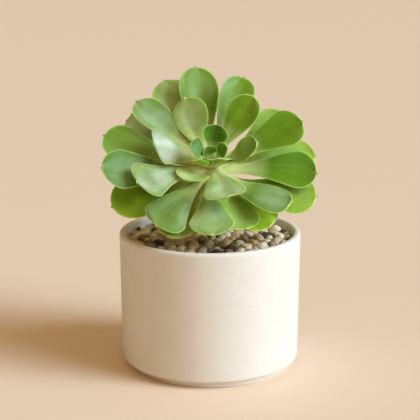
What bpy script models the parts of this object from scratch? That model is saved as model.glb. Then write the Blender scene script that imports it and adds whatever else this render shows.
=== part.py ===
"""A potted succulent: a leafy rosette on a short stem, in potting mix topped with river gravel, in a ceramic pot.

Units are metres and +Z is up. The origin is on the pot's axis, at the level of its foot. The plant leans
towards -Y, the side that the pot is seen from.
"""

import math
import random

import bmesh
import bpy
from mathutils import Matrix, Vector

# Pot
POT_HEIGHT = 0.0755
RIM_RADIUS = 0.0500
BODY_FOOT_RADIUS = 0.0491  # the wall draws in a little towards the foot
WALL = 0.00405
RIM_ROUNDING = 0.0018
CORNER_ROUNDING = 0.0015
FOOT_RADIUS = 0.0448
FOOT_HEIGHT = 0.0041
FOOT_RING_WIDTH = 0.0060
FOOT_RECESS = 0.0018
FLOOR_TOP = 0.0072
INSIDE_ROUNDING = 0.0040
TURNED_STEPS = 48
ARC_STEPS = 3

# Filling
GAP = 0.0003  # between pieces that touch
SOIL_TOP = 0.0626
BED_TOP = 0.0688
PEBBLE_COUNT = 112
PEBBLE_RADIUS = (0.0034, 0.0044)
PEBBLE_LEVEL = 0.0698
PEBBLE_SEED = 5
PEBBLE_AT_STEM = 0.5  # a pebble stands at least this share of its radius off the stem, which cuts the rest away

# Stem
STEM_RADIUS = 0.0050
STEM_FOOT = 0.0430
STEM_BEND_RADIUS = 0.0257
STEM_ARC_POINTS = 7
HOLE_SIDES = 32

# Rosette
CROWN = Vector((0.0005, -0.0100, 0.1155))  # the growing point
CROWN_TILT = math.radians(43)  # from upright, towards -Y
CORE_LENGTH = 0.0165
CORE_TOP_RADIUS = 0.0036
CORE_FOOT_RADIUS = 0.0054
CORE_SIDES = 16
GOLDEN_ANGLE = 137.5
LEAF_ROOT = 0.0030  # distance of a leaf's root from the crown's axis
LEAF_STEP = 0.0004  # each leaf is set this much lower on the crown than the one born after it
LEAF_HALF_EDGE = 0.00036
LEAF_HALF_MIDDLE = 0.0014
LEAF_POINT = 0.0007
LEAF_STATIONS = (0.0, 0.12, 0.26, 0.40, 0.54, 0.67, 0.78, 0.87, 0.94, 0.985)
LEAF_COLUMNS = 4

# One row a leaf: its place in the order of birth, counted out from the growing point, then what sets it apart
# from the rule in leaf_from_rule, in degrees and millimetres: azimuth, rise, bend, length and width. Then come how
# far its edges turn up, its twist, its sway to one side, how straight its flanks fan out from the neck, how blunt
# its end is (1.5 is pointed, 2 round, 3 blunt), how far one half of the blade is drawn ahead of the other, and how
# deep it is folded along its midrib.
LEAVES = (
    (-7, 0, 0, 3, 4, 2, 0.40, 0, 0, 0.0, 1.5, 0.0, 0.00),
    (-6, 0, 4, 3, 3, 1, 0.40, 0, 0, 0.0, 1.5, 0.0, 0.00),
    (-5, 0, 2, 3, 4, 7, 0.45, 0, -25, 0.0, 1.5, 0.0, 0.10),
    (-4, 2, -9, 3, 0, 4, 0.35, 0, -5, 0.0, 2.0, 0.0, 0.10),
    (-3, -7, 6, 3, 3, 2, 0.40, 0, -30, 0.0, 1.5, 0.0, 0.10),
    (-2, -2, 2, 7, 4, 3, 0.40, -10, 5, 0.0, 2.0, 0.0, 0.10),
    (-1, 8, 8, -4, -2, 3, 0.10, -45, 0, 0.0, 1.5, 0.0, 0.00),
    (0, -11, 4, 0, -3, 5, 0.35, 0, -5, 0.0, 1.5, 0.0, 0.25),
    (1, -12, -4, -6, -14, 3, 0.10, 45, 0, 0.0, 1.5, 0.0, 0.00),
    (2, -17, 9, -13, -6, 3, 0.20, 0, 25, 0.0, 3.0, 0.0, 0.10),
    (3, 33, 19, 0, -8, 5, 0.05, 5, -15, 0.5, 3.5, -0.7, 0.10),
    (4, 5, -2, 18, -7, 5, -0.20, 0, 0, 0.5, 3.0, 0.0, 0.40),
    (5, -4, 4, -5, -4, -1, 0.20, 5, 0, 0.0, 2.0, 0.0, 0.10),
    (6, 13, 15, -4, -6, 5, 0.05, 0, -5, 1.0, 3.0, -0.2, 0.15),
    (7, -23, 16, 0, 0, 1, -0.20, -15, 35, 0.5, 3.5, 0.0, 0.25),
    (8, 6, 8, -13, -13, -1, 0.00, -35, -10, 0.0, 2.0, 0.0, 0.25),
    (9, -7, 8, 15, -4, 3, -0.15, 0, -10, 1.0, 3.0, 0.0, 0.15),
    (10, -3, 6, -3, -1, 1, 0.15, 5, 0, 0.5, 2.0, 0.0, 0.10),
    (11, 8, 17, -8, 4, -2, 0.10, -10, -15, 0.5, 2.5, 0.0, 0.15),
    (12, -4, 16, -5, -13, 0, 0.00, -20, -5, 0.5, 2.5, 0.0, 0.15),
    (13, -7, -3, 10, -2, -4, 0.20, 15, 0, 0.0, 2.5, 0.0, 0.15),
    (14, 9, -20, 0, -34, -6, 0.20, 20, 15, 0.0, 2.5, 0.0, 0.10),
    (15, 1, 8, 3, -2, 1, 0.20, 0, 0, 0.5, 2.0, 0.0, 0.15),
    (16, 8, -2, 7, -3, -5, 0.15, 5, 0, 0.0, 2.5, 0.0, 0.20),
    (17, 1, -8, 24, -11, 0, -0.05, 0, 5, 1.0, 2.0, 0.0, 0.15),
    (18, -15, 7, 0, -5, -2, 0.20, 0, 20, 0.5, 2.0, 0.0, 0.10),
    (19, 6, 1, -10, 0, 1, -0.05, -5, 0, 0.5, 2.0, 0.0, 0.20),
    (20, -10, 12, 0, -13, 0, 0.05, -15, 0, 0.5, 2.5, 0.0, 0.10),
    (21, 1, -6, 3, 2, -2, 0.10, 5, 0, 0.0, 2.0, 0.0, 0.20),
    (22, 9, 7, -2, -11, 0, 0.10, 0, -5, 0.0, 2.0, 0.0, 0.10),
    (23, -4, 8, 0, -3, 0, 0.20, 0, 0, 0.0, 2.0, 0.0, 0.10),
    (24, -7, 12, -3, -2, 2, 0.35, -20, 0, 0.0, 2.5, 0.0, 0.10),
    (25, 0, 10, 0, -27, -5, 0.20, 0, 0, 0.0, 2.0, 0.0, 0.10),
    (27, 2, 6, 0, -3, 1, 0.05, -5, 0, 0.0, 2.0, 0.0, 0.05),
    (28, -10, 4, 0, -1, 2, 0.10, 0, 25, 0.5, 2.0, 0.0, 0.10),
    (29, -3, -2, 5, 3, 0, 0.15, 0, 0, 0.0, 2.0, 0.0, 0.15),
)


def clear_scene():
    for obj in list(bpy.data.objects):
        bpy.data.objects.remove(obj, do_unlink=True)


def make_collection(name):
    collection = bpy.data.collections.new(name)
    bpy.context.scene.collection.children.link(collection)
    return collection


def make_material(name, hex_colour, roughness):
    material = bpy.data.materials.new(name)
    material.use_nodes = True
    shader = material.node_tree.nodes["Principled BSDF"]
    parts = [int(hex_colour[k : k + 2], 16) / 255 for k in (0, 2, 4)]
    linear = [c / 12.92 if c <= 0.04045 else ((c + 0.055) / 1.055) ** 2.4 for c in parts]
    shader.inputs["Base Color"].default_value = (*linear, 1)
    shader.inputs["Roughness"].default_value = roughness
    return material


def object_from_bmesh(bm, name, collection, material=None):
    mesh = bpy.data.meshes.new(name)
    bm.to_mesh(mesh)
    bm.free()
    obj = bpy.data.objects.new(name, mesh)
    collection.objects.link(obj)
    if material:
        mesh.materials.append(material)
    return obj


def arc(centre, radius, start, end):
    """Points of a round stretch of a profile, from one angle to the other, in degrees."""
    angles = [math.radians(start + (end - start) * k / ARC_STEPS) for k in range(ARC_STEPS + 1)]
    return [(centre[0] + radius * math.cos(a), centre[1] + radius * math.sin(a)) for a in angles]


def turned(name, profile, collection, material):
    """A solid of revolution about the Z axis. The profile of (radius, height) points runs down its outer side."""
    mesh = bpy.data.meshes.new(name)
    points = [(radius, 0, height) for radius, height in profile]
    mesh.from_pydata(points, [(k, k + 1) for k in range(len(points) - 1)], [])
    obj = bpy.data.objects.new(name, mesh)
    collection.objects.link(obj)
    mesh.materials.append(material)
    screw = obj.modifiers.new("turn", "SCREW")
    screw.axis = "Z"
    screw.steps = TURNED_STEPS
    screw.render_steps = TURNED_STEPS
    screw.use_merge_vertices = True
    screw.merge_threshold = 0.00001
    screw.use_smooth_shade = True
    return obj


def apply_modifiers(obj):
    graph = bpy.context.evaluated_depsgraph_get()
    mesh = bpy.data.meshes.new_from_object(obj.evaluated_get(graph))
    obj.modifiers.clear()
    obj.data = mesh


def inner_radius(height):
    """Radius of the pot's inside at a height, above the rounding at its floor."""
    outer = BODY_FOOT_RADIUS + (RIM_RADIUS - BODY_FOOT_RADIUS) * (height - FOOT_HEIGHT) / (POT_HEIGHT - FOOT_HEIGHT)
    return outer - WALL


def pot(collection, material):
    floor_corner = inner_radius(FLOOR_TOP + INSIDE_ROUNDING) - INSIDE_ROUNDING
    profile = [
        (inner_radius(POT_HEIGHT - RIM_ROUNDING), POT_HEIGHT - RIM_ROUNDING),
        *arc((RIM_RADIUS - WALL + RIM_ROUNDING, POT_HEIGHT - RIM_ROUNDING), RIM_ROUNDING, 135, 90),
        *arc((RIM_RADIUS - RIM_ROUNDING, POT_HEIGHT - RIM_ROUNDING), RIM_ROUNDING, 90, 0),
        *arc((BODY_FOOT_RADIUS - CORNER_ROUNDING, FOOT_HEIGHT + CORNER_ROUNDING), CORNER_ROUNDING, 0, -90),
        (FOOT_RADIUS, FOOT_HEIGHT),
        (FOOT_RADIUS, 0.0005),
        (FOOT_RADIUS - 0.0005, 0),
        (FOOT_RADIUS - FOOT_RING_WIDTH, 0),
        (FOOT_RADIUS - FOOT_RING_WIDTH - FOOT_RECESS, FOOT_RECESS),
        (0, FOOT_RECESS),
        (0, FLOOR_TOP),
        *arc((floor_corner, FLOOR_TOP + INSIDE_ROUNDING), INSIDE_ROUNDING, -90, 0),
    ]
    return turned("pot", profile + profile[:1], collection, material)


def stem_axis():
    """Where the upright stretch of the stem stands, in x and y, and the height where it starts to bend."""
    direction = crown_axes()[0]
    top = CROWN - direction * (CORE_LENGTH + GAP)
    y = top.y + STEM_BEND_RADIUS * (1 - math.cos(CROWN_TILT))
    return top.x, y, top.z - STEM_BEND_RADIUS * math.sin(CROWN_TILT)


def stem_hole_cutter(name, collection):
    """A plain round hole for the stem, through the gravel and into the soil."""
    x, y, _ = stem_axis()
    bm = bmesh.new()
    bottom = STEM_FOOT - GAP
    depth = POT_HEIGHT - bottom
    radius = (STEM_RADIUS + GAP) / math.cos(math.pi / HOLE_SIDES)
    bmesh.ops.create_cone(
        bm,
        cap_ends=True,
        segments=HOLE_SIDES,
        radius1=radius,
        radius2=radius,
        depth=depth,
        matrix=Matrix.Translation((x, y, bottom + depth / 2)),
    )
    cutter = object_from_bmesh(bm, name, collection)
    cutter.hide_render = True
    cutter.display_type = "WIRE"
    return cutter


def cut(obj, cutter):
    boolean = obj.modifiers.new("stem hole", "BOOLEAN")
    boolean.operation = "DIFFERENCE"
    boolean.object = cutter


def soil(collection, material, cutter):
    corner = inner_radius(FLOOR_TOP + INSIDE_ROUNDING) - INSIDE_ROUNDING
    rounding = INSIDE_ROUNDING - GAP
    profile = [
        (0, SOIL_TOP),
        (inner_radius(SOIL_TOP) - GAP, SOIL_TOP),
        *arc((corner, FLOOR_TOP + INSIDE_ROUNDING), rounding, 0, -90),
        (0, FLOOR_TOP + GAP),
    ]
    obj = turned("soil", profile, collection, material)
    apply_modifiers(obj)
    cut(obj, cutter)
    return obj


def pebble_places():
    """Centre, half axes and turn of every pebble: a sunflower spiral, shaken by a seeded draw."""
    rng = random.Random(PEBBLE_SEED)
    stem_x, stem_y, _ = stem_axis()
    reach = inner_radius(BED_TOP) - GAP - PEBBLE_RADIUS[1] - 0.0002
    for k in range(PEBBLE_COUNT):
        radius = rng.uniform(*PEBBLE_RADIUS)
        halves = (radius * rng.uniform(0.92, 1.08), radius * rng.uniform(0.80, 0.95), radius * rng.uniform(0.66, 0.85))
        away = reach * math.sqrt((k + 0.5) / PEBBLE_COUNT)
        angle = math.radians(GOLDEN_ANGLE * k + rng.uniform(-3, 3))
        lift = rng.uniform(-0.0006, 0.0009)
        turn = rng.uniform(0, 2 * math.pi)
        lean = rng.uniform(-0.3, 0.3)
        centre = Vector((away * math.cos(angle), away * math.sin(angle), PEBBLE_LEVEL + lift))
        if math.hypot(centre.x - stem_x, centre.y - stem_y) > STEM_RADIUS + PEBBLE_AT_STEM * radius:
            yield centre, halves, turn, lean


def gravel(collection, material, cutter):
    """A bed with its pebbles sunk into it. The bed shows only in the chinks between them."""
    radius = inner_radius(SOIL_TOP) - GAP
    bed = turned(
        "gravel",
        [(0, BED_TOP), (radius, BED_TOP), (radius, SOIL_TOP + GAP), (0, SOIL_TOP + GAP)],
        collection,
        material,
    )
    apply_modifiers(bed)
    pebbles = make_collection("pebbles")
    for centre, halves, turn, lean in pebble_places():
        bm = bmesh.new()
        bmesh.ops.create_icosphere(bm, subdivisions=1, radius=1)
        place = Matrix.Translation(centre) @ Matrix.Rotation(turn, 4, "Z") @ Matrix.Rotation(lean, 4, "X")
        bm.transform(place @ Matrix.Diagonal((*halves, 1)))
        object_from_bmesh(bm, "pebble", pebbles)
    fuse(bed, pebbles)
    cut(bed, cutter)
    return bed


def stem(collection, material):
    """A tube that stands upright in its hole and bends over to meet the crown square on."""
    x, y, bend_height = stem_axis()
    points = [Vector((x, y, STEM_FOOT))]
    for k in range(STEM_ARC_POINTS + 1):
        angle = CROWN_TILT * k / STEM_ARC_POINTS
        along = STEM_BEND_RADIUS * math.sin(angle)
        across = STEM_BEND_RADIUS * (1 - math.cos(angle))
        points.append(Vector((x, y - across, bend_height + along)))
    curve = bpy.data.curves.new("stem", "CURVE")
    curve.dimensions = "3D"
    curve.bevel_depth = STEM_RADIUS
    curve.bevel_resolution = 5
    curve.use_fill_caps = True
    spline = curve.splines.new("POLY")
    spline.points.add(len(points) - 1)
    for target, point in zip(spline.points, points):
        target.co = (*point, 1)
    spline.use_smooth = True
    curve.materials.append(material)
    obj = bpy.data.objects.new("stem", curve)
    collection.objects.link(obj)
    return obj


def crown_axes():
    """The crown's own axis, and the two across it: to the right, and up and back."""
    axis = Vector((0, -math.sin(CROWN_TILT), math.cos(CROWN_TILT)))
    right = Vector((1, 0, 0))
    return axis, right, axis.cross(right)


def leaf_from_rule(row):
    """A leaf's angles and size: the golden angle turns it, and its age opens and lengthens it."""
    birth, azimuth, rise, bend, length, width, edge_turn, twist, sway, fan, end, skew, fold = row
    age = max(birth, 0)
    if birth < 0:
        size = 20 + 3 * birth
        rule_rise = 24 + 4 * birth
        rule_width = 0.60 * size
    else:
        size = 22 + 36 * (1 - math.exp(-age / 5))
        rule_rise = 30 + 46 * (1 - math.exp(-age / 7))
        rule_width = 0.41 * size
    return {
        "azimuth": math.radians(90 + GOLDEN_ANGLE * birth + azimuth),
        "rise": math.radians(rule_rise + rise),
        "bend": math.radians(12 + bend),
        "length": 0.001 * (size + length),
        "half_width": 0.0005 * (rule_width + width),
        "edge_turn": edge_turn,
        "twist": math.radians(twist),
        "sway": math.radians(sway),
        "fan": fan,
        "end": end,
        "skew": skew,
        "fold": fold,
        "drop": LEAF_STEP * age,
    }


def leaf_outline(leaf, s):
    """Half width at a share s of the length, as a share of the widest: a narrow neck and a broad end."""
    neck_share, neck_end = 0.26, 0.18
    widest = 0.77 + 0.06 * leaf["fan"]
    spread = min(max((s - neck_end) / (widest - neck_end), 0), 1)
    curved = spread * spread * (3 - 2 * spread)
    flank = curved + leaf["fan"] * (spread * spread - curved)
    width = neck_share + (1 - neck_share) * flank + 0.16 * max(1 - s / 0.14, 0) ** 2
    past = min(max((s - widest) / (1 - widest), 0), 1)
    return width * math.sqrt(1 - past ** leaf["end"])


def midrib(leaf, shares):
    """Point, direction, width direction and upper normal of the leaf's middle line at each share of its length."""
    axis, right, back = crown_axes()
    outward = math.cos(leaf["azimuth"]) * right + math.sin(leaf["azimuth"]) * back
    across = -math.sin(leaf["azimuth"]) * right + math.cos(leaf["azimuth"]) * back
    steps = 120
    point = CROWN - axis * leaf["drop"] + outward * LEAF_ROOT
    line = []
    for k in range(steps + 1):
        s = k / steps
        angle = leaf["rise"] + leaf["bend"] * s**1.4
        straight = math.cos(angle) * axis + math.sin(angle) * outward
        upper = math.sin(angle) * axis - math.cos(angle) * outward
        sway = leaf["sway"] * s
        along = math.cos(sway) * straight + math.sin(sway) * across
        sideways = math.cos(sway) * across - math.sin(sway) * straight
        twist = leaf["twist"] * s
        width_way = math.cos(twist) * sideways + math.sin(twist) * upper
        normal = math.cos(twist) * upper - math.sin(twist) * sideways
        line.append((point.copy(), along, width_way, normal))
        point += along * leaf["length"] / steps
    return [line[round(s * steps)] for s in shares]


def leaf_blade(leaf, collection):
    """A fleshy leaf: one grid of triangles for its upper face, the same grid below it, and a narrow edge."""
    rows = len(LEAF_STATIONS) - 1
    bm = bmesh.new()
    bmesh.ops.create_grid(bm, x_segments=LEAF_COLUMNS, y_segments=rows, size=1)
    bmesh.ops.triangulate(bm, faces=bm.faces)
    upper = list(bm.verts)
    border = [edge for edge in bm.edges if edge.is_boundary]
    copied = bmesh.ops.duplicate(bm, geom=bm.verts[:] + bm.edges[:] + bm.faces[:])
    lower_faces = [item for item in copied["geom"] if isinstance(item, bmesh.types.BMFace)]
    lower_border = [item for item in copied["geom"] if isinstance(item, bmesh.types.BMEdge) and item.is_boundary]
    bmesh.ops.reverse_faces(bm, faces=lower_faces)
    uppers = set(upper)
    line = midrib(leaf, LEAF_STATIONS)
    for vert in bm.verts:
        v = vert.co.x
        row = round((vert.co.y + 1) / 2 * rows)
        s = LEAF_STATIONS[row]
        point, along, width_way, normal = line[row]
        half_width = leaf["half_width"] * leaf_outline(leaf, s)
        turned_up = half_width * (leaf["edge_turn"] * v * v - leaf["fold"] * (1 - abs(v)))
        ahead = half_width * leaf["skew"] * v * s * s
        middle = LEAF_HALF_MIDDLE * (1 - 0.35 * s)
        half_thick = LEAF_HALF_EDGE + (middle - LEAF_HALF_EDGE) * (1 - v * v)
        side = 1 if vert in uppers else -1
        vert.co = point + along * ahead + width_way * (half_width * v) + normal * (turned_up + side * half_thick)
        if row == rows:
            tip_way = (line[row][0] - line[row - 1][0]).normalized()
            vert.co += tip_way * ((1 - s) * leaf["length"] + LEAF_POINT) * (1 - abs(v)) ** 1.5
    bmesh.ops.bridge_loops(bm, edges=border + lower_border)
    bmesh.ops.triangulate(bm, faces=[face for face in bm.faces if len(face.verts) > 3])
    bmesh.ops.recalc_face_normals(bm, faces=bm.faces)
    return object_from_bmesh(bm, "leaf", collection)


def fuse(obj, collection):
    """Joins a collection's objects to obj, removes them, and keeps only the outer skin of the result."""
    boolean = obj.modifiers.new("fuse", "BOOLEAN")
    boolean.operation = "UNION"
    boolean.operand_type = "COLLECTION"
    boolean.collection = collection
    boolean.solver = "EXACT"
    apply_modifiers(obj)
    for member in list(collection.objects):
        bpy.data.objects.remove(member, do_unlink=True)
    bpy.data.collections.remove(collection)
    keep_outer_skin(obj.data)


def keep_outer_skin(mesh):
    """Drops sealed hollows and loose scraps: every group of linked faces but the largest."""
    bm = bmesh.new()
    bm.from_mesh(mesh)
    bmesh.ops.remove_doubles(bm, verts=bm.verts, dist=0.000002)
    left = set(bm.verts)
    groups = []
    while left:
        edge_of_group = [left.pop()]
        group = set(edge_of_group)
        while edge_of_group:
            for edge in edge_of_group.pop().link_edges:
                for vert in edge.verts:
                    if vert in left:
                        left.remove(vert)
                        group.add(vert)
                        edge_of_group.append(vert)
        groups.append(group)
    largest = max(groups, key=len)
    bmesh.ops.delete(bm, geom=[vert for vert in bm.verts if vert not in largest], context="VERTS")
    bm.to_mesh(mesh)
    bm.free()


def rosette(collection, material):
    """Every leaf, grown from one core at the top of the stem."""
    axis = crown_axes()[0]
    bm = bmesh.new()
    place = Matrix.Translation(CROWN - axis * CORE_LENGTH / 2) @ Matrix.Rotation(CROWN_TILT, 4, "X")
    bmesh.ops.create_cone(
        bm,
        cap_ends=True,
        segments=CORE_SIDES,
        radius1=CORE_FOOT_RADIUS,
        radius2=CORE_TOP_RADIUS,
        depth=CORE_LENGTH,
        matrix=place,
    )
    core = object_from_bmesh(bm, "rosette", collection, material)
    leaves = make_collection("leaves")
    for row in LEAVES:
        leaf_blade(leaf_from_rule(row), leaves)
    fuse(core, leaves)
    return core


def main():
    clear_scene()
    parts = make_collection("potted_succulent")
    cutters = make_collection("cutters")
    cutter = stem_hole_cutter("stem_hole", cutters)
    pot(parts, make_material("stoneware", "EDE3D3", 0.55))
    soil(parts, make_material("potting_mix", "3B2A1E", 0.95), cutter)
    gravel(parts, make_material("river_gravel", "9A8870", 0.60), cutter)
    stem(parts, make_material("woody_stem", "7A6A45", 0.80))
    rosette(parts, make_material("succulent_leaf", "6E9A3C", 0.45))


main()
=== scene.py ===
"""The looks of the potted succulent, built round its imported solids.

Units are metres and +Z is up. The origin is on the pot's axis, at the level of its foot, and the pot is seen
from -Y. The leaves, the pot and the stem repeat the measures of the part's own source.
"""

import math
import random

import bmesh
import bpy
from mathutils import Matrix, Vector, noise


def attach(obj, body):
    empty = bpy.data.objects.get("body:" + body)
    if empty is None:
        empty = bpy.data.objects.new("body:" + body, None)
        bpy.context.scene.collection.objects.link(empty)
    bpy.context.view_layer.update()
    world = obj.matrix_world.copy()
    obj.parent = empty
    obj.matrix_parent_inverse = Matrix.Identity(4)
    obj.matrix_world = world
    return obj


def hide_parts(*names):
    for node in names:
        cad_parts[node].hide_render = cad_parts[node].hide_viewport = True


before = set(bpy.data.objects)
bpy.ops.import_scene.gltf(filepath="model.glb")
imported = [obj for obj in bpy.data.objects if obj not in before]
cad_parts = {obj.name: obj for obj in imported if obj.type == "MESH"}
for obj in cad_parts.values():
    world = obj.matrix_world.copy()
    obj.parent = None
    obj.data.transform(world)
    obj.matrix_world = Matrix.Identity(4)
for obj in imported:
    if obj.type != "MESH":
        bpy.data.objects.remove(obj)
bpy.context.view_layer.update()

MM = 0.001
WELD = 0.001 * MM  # vertices that lie closer together than this become one

# Camera: 700 mm in front of the pot's axis and 260 mm up, looking down at the plant
CAMERA_PLACE = (0, -0.700, 0.260)
CAMERA_PITCH = 13.9
CAMERA_LENS = 112.2
SENSOR_WIDTH = 36
NEAREST = 0.01
FARTHEST = 100

# Each light: its name, its azimuth to the right of the camera, its height and its spread in degrees, its
# strength and its colour
SUNS = (
    ("window", 67, 36, 35, 2.95, (0.63, 0.80, 0.98)),
    ("low_window", 71, 18, 20, 1.05, (0.63, 0.80, 0.98)),
    ("ceiling", 0, 80, 110, 1.2, (1.0, 0.68, 0.37)),
)
ROOM_COLOUR = "F4E4B4"
ROOM_STRENGTH = 0.08
FLOOR_HALF = 8

# Pot
POT_HEIGHT = 75.5 * MM
RIM_RADIUS = 50 * MM
BODY_FOOT_RADIUS = 49.1 * MM
WALL = 4.05 * MM
RIM_ROUNDING = 1.8 * MM
CORNER_ROUNDING = 1.5 * MM
FOOT_RADIUS = 44.8 * MM
FOOT_HEIGHT = 4.1 * MM
FOOT_FILLET = 0.3 * MM
FOOT_ROUNDING = 0.6 * MM
FOOT_RING_WIDTH = 6 * MM
FOOT_RECESS = 1.8 * MM
FLOOR_TOP = 7.2 * MM
INSIDE_ROUNDING = 4 * MM
POT_STEPS = 144

# Gravel
BED_TOP = 68.8 * MM
BED_UNDERSIDE = 63 * MM
PEBBLE_TOPS = 72.9 * MM
GRAVEL_SEED = 14
# Each draw of pebbles: how many are tried, their least and greatest half length, and how deep their tops lie
# under the level of the bed's top pebbles
PEBBLE_DRAWS = (
    (260, 3.1 * MM, 3.7 * MM, 0.0 * MM),
    (1600, 2.3 * MM, 3.0 * MM, 0.1 * MM),
    (2600, 1.5 * MM, 2.1 * MM, 0.5 * MM),
    (900, 2.2 * MM, 2.9 * MM, 2.6 * MM),
)
LOWER_LAYER = 2 * MM  # a draw whose tops lie deeper than this belongs to the layer below
TOP_SCATTER = (-1.0, 0.7)  # how far a pebble's top may lie from its level, in millimetres
PEBBLE_OVERLAP = 0.90  # the least distance of two pebbles, as a share of their half lengths together
PEBBLE_ROOM = 0.95  # the least distance from the pot and the stem, as a share of a pebble's half length
LARGE_PEBBLE = 3.1 * MM  # above this half length, a pebble gets more faces
PEBBLE_HALVES = ((1.0, 1.15), (0.80, 0.98), (0.72, 0.95))  # shares for half the length, width and height
PEBBLE_SQUARENESS = (1.9, 3.0)  # 2 is an ellipsoid, and more is boxier
PEBBLE_LEAN = 0.4  # the spread of its draw, in radians
PEBBLE_LUMPS = ((0.30, 0.9), (0.12, 2.3))  # the height and the detail of each noise on a pebble
NOISE_SPREAD = 50  # how far apart two pebbles may lie in that noise
STONE_SHADES = (0.9, 1.16)
GRIT_RINGS = 40
GRIT_STEPS = 120
GRIT_HEIGHT = 0.7 * MM
GRIT_DETAIL = 700
GRIT_DEPTH = 1.5 * MM
GRIT_EDGE = 0.1 * MM  # nothing this close to the edge of the grit is moved
# Each kind of stone: its name, its light, dark and grain colours, its roughness and its share of the pebbles
STONES = (
    ("cream_quartzite", "FAEED4", "F0DCB6", "C8AE84", 0.38, 0.33),
    ("tan_sandstone", "F0D0A4", "D4AC7C", "947048", 0.48, 0.22),
    ("amber_jasper", "F0C690", "D2A468", "A0703C", 0.36, 0.09),
    ("grey_granite", "DCCEB4", "B8A68C", "6A5C46", 0.43, 0.12),
    ("dark_basalt", "4E3E30", "2E241C", "8B7A62", 0.42, 0.07),
    ("brown_greywacke", "AA8A68", "785A42", "B59872", 0.45, 0.08),
    ("olive_slate", "C8BA94", "988C68", "5D543E", 0.45, 0.03),
    ("rose_quartzite", "F0CCAA", "D2A684", "F4E4CC", 0.40, 0.06),
)

# Stem and crown
STEM_RADIUS = 5 * MM
STEM_FOOT = 43 * MM
STEM_BEND_RADIUS = 25.7 * MM
STEM_ROWS = 90
STEM_ROUND = 40
BARK_DEPTH = 0.25 * MM
SCAR_HEIGHT = 0.22 * MM
SCAR_WINDINGS = ((5, 900), (3, -1400))  # waves once round the stem, and how they wind, in radians a metre
CROWN = Vector((0.5, -10, 115.5)) * MM
CROWN_TILT = math.radians(43)
CORE_LENGTH = 16.5 * MM
CORE_TOP_RADIUS = 3.6 * MM
CORE_FOOT_RADIUS = 5.4 * MM
CORE_RIDGES = 5
CORE_RIDGE_HEIGHT = 0.2 * MM
CORE_WINDING = 14
CORE_ROWS = 20
CORE_ROUND = 32
CORE_LOOKS = {"along": 0.12, "margin": 9, "tone": 0.5}
GAP = 0.3 * MM

# The rule for a leaf, in degrees and millimetres. The bud leaves lie below 0 in the order of birth, and grow
# by one step from each to the next. Any other leaf grows with age, fast at first, towards its full size.
GOLDEN_ANGLE = 137.5
BUD_LENGTH = 20
BUD_LENGTH_STEP = 3
BUD_RISE = 24
BUD_RISE_STEP = 4
BUD_WIDTH = 0.60  # a share of the length
NEW_LENGTH = 22
ADDED_LENGTH = 36
LENGTH_AGE = 5
NEW_RISE = 30
ADDED_RISE = 46
RISE_AGE = 7
LEAF_WIDTH = 0.41  # a share of the length
LEAF_BEND = 12
BEND_POWER = 1.4
LEAF_ROOT = 3 * MM
LEAF_STEP = 0.4 * MM

# The outline of a leaf, in shares of its length and of its widest width
NECK_SHARE = 0.26
NECK_END = 0.18
ROOT_FLARE = 0.16
ROOT_END = 0.14
WIDEST = 0.77
WIDEST_SHIFT = 0.06  # how much nearer to its end a leaf with straight flanks is widest

# The thickness of a leaf and its small forms. A START or an END says where a form begins or ends: over a
# range of the leaf's length, or from a single share of the way round the leaf's end.
LEAF_HALF_EDGE = 0.36 * MM
LEAF_HALF_MIDDLE = 1.4 * MM
LEAF_THINNING = 0.35
SECTION_POWER = 0.7  # less than 1 makes the section fuller towards its margins
END_THINNING = 0.55
THINNING_START = 0.75
FULL_LENGTH = 40 * MM  # the small forms of a shorter leaf are smaller too
FOLD_ROUNDING = 0.12
LEAF_SEED = 400
BLADE_START = (0.2, 0.5)
WAVE_HEIGHTS = (0.15, 0.5)  # in millimetres, at the margin
WAVE_POWER = 3
WAVES = 1.7
RIDGE_HEIGHT = 0.07 * MM
RIDGE_TURNS = 11
HOLLOW_HEIGHT = 0.9 * MM
HOLLOW_DETAIL = (1.3, 4)  # across the leaf and along it
HOLLOW_FADE = 0.5
CHANNEL_DEPTH = 0.45 * MM
CHANNEL_WIDTH = 0.35
CHANNEL_END = (0.35, 0.9)
LEAF_POINT = 0.9 * MM
POINT_WIDTH = 1.8 * MM
POINT_START = 0.7
POINT_POWER = 1.5
TOOTH_HEIGHT = 0.42 * MM
TOOTH_SIZES = (0.5, 1.2)
TOOTH_ROWS = 3
TOOTH_START = (0.3, 0.5)
TOOTH_END = 0.9
TOOTH_POWER = 24

# The mesh of a leaf
LEAF_ROWS = 132
LEAF_ROUND = 48
CAP_ROWS = 0.34  # share of the rows that the round end takes
MIDRIB_STEPS = 240
TEETH_A_SIDE = LEAF_ROWS // TOOTH_ROWS + 2
LEAF_LAYERS = ("along", "across", "margin", "upper", "bloom_and_painted_sheen", "tone", "seed", "dry")
FIRST_SEED = 8
OLD_LEAF = 11  # from this place in the order of birth on, a leaf's tip has dried
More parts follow.
